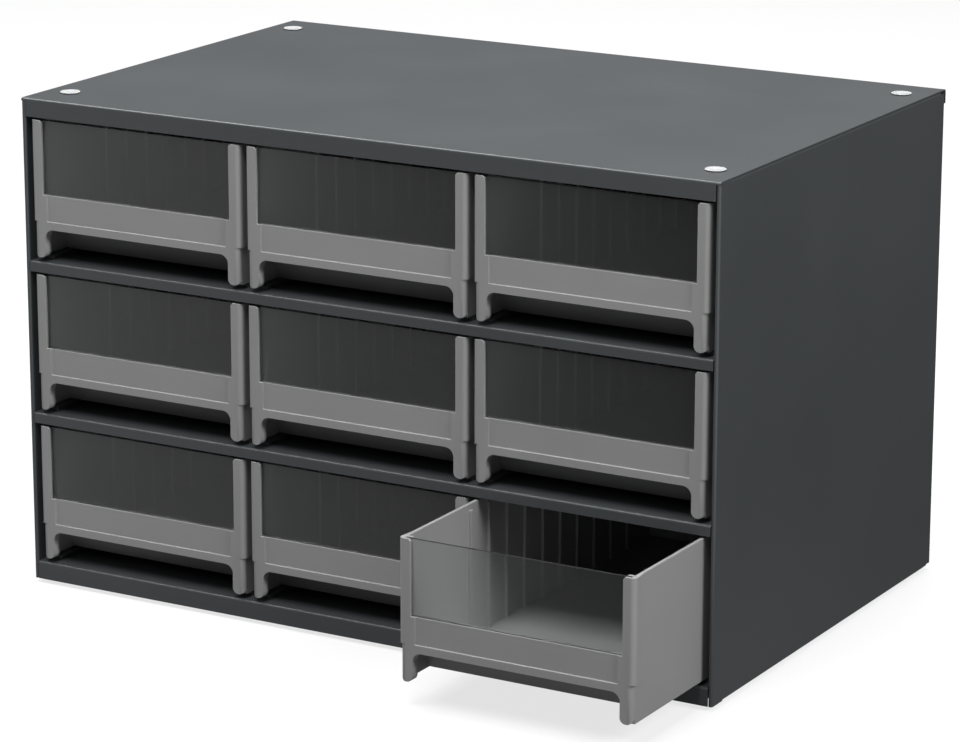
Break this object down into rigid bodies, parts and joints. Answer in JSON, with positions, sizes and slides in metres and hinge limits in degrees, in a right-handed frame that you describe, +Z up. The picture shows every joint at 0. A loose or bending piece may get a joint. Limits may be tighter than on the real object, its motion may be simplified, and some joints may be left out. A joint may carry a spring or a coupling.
{
  "type": "small-parts drawer cabinet",
  "caption": "Steel small-parts cabinet with sliding moulded drawers, each with a clear front window, a label recess, a finger gap and slots for dividers; made to stack",
  "frame": {"origin": "middle of the case's footprint, on the surface that the feet stand on", "axes": "+X to the viewer's right across the case's width, +Y to the back, +Z up"},
  "size_m": [0.4318, 0.3565, 0.2819],
  "materials": {
    "case": "satin dark grey powder coat over folded sheet steel",
    "drawer": "fine matte mid-grey moulded polystyrene",
    "window": "clear polished plastic sheet, an insert in the drawer front",
    "button": "off-white nylon",
    "foot": "soft black vinyl"
  },
  "bodies": {
    "cabinet": {"left_side_panel": "case", "right_side_panel": "case", "top_panel": "case", "bottom_panel": "case", "back_panel": "case", "upper_shelf": "case", "lower_shelf": "case", "stacking_button_front_left": "button", "stacking_button_front_right": "button", "stacking_button_rear_left": "button", "stacking_button_rear_right": "button", "foot_front_left": "foot", "foot_front_right": "foot", "foot_rear_left": "foot", "foot_rear_right": "foot"},
    "drawer_body_bottom_left": {"drawer_bottom_left": "drawer", "window_bottom_left": "window"},
    "drawer_body_bottom_middle": {"drawer_bottom_middle": "drawer", "window_bottom_middle": "window"},
    "drawer_body_bottom_right": {"drawer_bottom_right": "drawer", "window_bottom_right": "window"},
    "drawer_body_middle_left": {"drawer_middle_left": "drawer", "window_middle_left": "window"},
    "drawer_body_middle_middle": {"drawer_middle_middle": "drawer", "window_middle_middle": "window"},
    "drawer_body_middle_right": {"drawer_middle_right": "drawer", "window_middle_right": "window"},
    "drawer_body_top_left": {"drawer_top_left": "drawer", "window_top_left": "window"},
    "drawer_body_top_middle": {"drawer_top_middle": "drawer", "window_top_middle": "window"},
    "drawer_body_top_right": {"drawer_top_right": "drawer", "window_top_right": "window"}
  },
  "joints": [
    {"name": "drawer_slide_bottom_left", "type": "slide", "parent": "cabinet", "child": "drawer_body_bottom_left", "axis": [0, -1, 0], "range_m": [0, 0.231]},
    {"name": "drawer_slide_bottom_middle", "type": "slide", "parent": "cabinet", "child": "drawer_body_bottom_middle", "axis": [0, -1, 0], "range_m": [0, 0.231]},
    {"name": "drawer_slide_bottom_right", "type": "slide", "parent": "cabinet", "child": "drawer_body_bottom_right", "axis": [0, -1, 0], "range_m": [-0.0762, 0.1548]},
    {"name": "drawer_slide_middle_left", "type": "slide", "parent": "cabinet", "child": "drawer_body_middle_left", "axis": [0, -1, 0], "range_m": [0, 0.231]},
    {"name": "drawer_slide_middle_middle", "type": "slide", "parent": "cabinet", "child": "drawer_body_middle_middle", "axis": [0, -1, 0], "range_m": [0, 0.231]},
    {"name": "drawer_slide_middle_right", "type": "slide", "parent": "cabinet", "child": "drawer_body_middle_right", "axis": [0, -1, 0], "range_m": [0, 0.231]},
    {"name": "drawer_slide_top_left", "type": "slide", "parent": "cabinet", "child": "drawer_body_top_left", "axis": [0, -1, 0], "range_m": [0, 0.231]},
    {"name": "drawer_slide_top_middle", "type": "slide", "parent": "cabinet", "child": "drawer_body_top_middle", "axis": [0, -1, 0], "range_m": [0, 0.231]},
    {"name": "drawer_slide_top_right", "type": "slide", "parent": "cabinet", "child": "drawer_body_top_right", "axis": [0, -1, 0], "range_m": [0, 0.231]}
  ]
}
